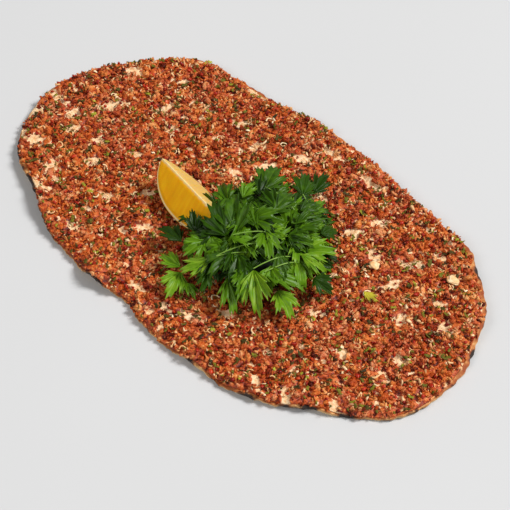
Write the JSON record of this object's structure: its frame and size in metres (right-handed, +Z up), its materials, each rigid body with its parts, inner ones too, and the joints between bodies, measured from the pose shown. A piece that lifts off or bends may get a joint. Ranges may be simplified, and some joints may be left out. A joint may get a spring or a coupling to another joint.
{
  "type": "lahmacun",
  "caption": "Thin oval flatbread baked under a crumbly spread of spiced minced meat, topped with a lemon wedge and a bunch of flat-leaf parsley.",
  "frame": {"origin": "middle of the bread's length and width, on the surface that its flat underside rests on", "axes": "+X runs along the bread towards the end away from the lemon, +Y across the bread, +Z up"},
  "size_m": [0.3595, 0.204, 0.0377],
  "materials": {
    "baked_dough": "dry baked dough, pale gold with charred rim",
    "cooked_mince": "moist crumbly brown-red meat",
    "lemon": "wet flesh, satin rind",
    "parsley": "fresh satin leaf",
    "cooked_onion": "soft cooked onion",
    "leaf_bit": "wilted yellow-green leaf"
  },
  "bodies": {
    "root": {"flatbread": "baked_dough", "mince_topping": "cooked_mince", "lemon_wedge": "lemon", "parsley_bunch": "parsley", "onion_piece_large": "cooked_onion", "onion_piece_small": "cooked_onion", "leaf_piece": "leaf_bit"}
  },
  "joints": []
}
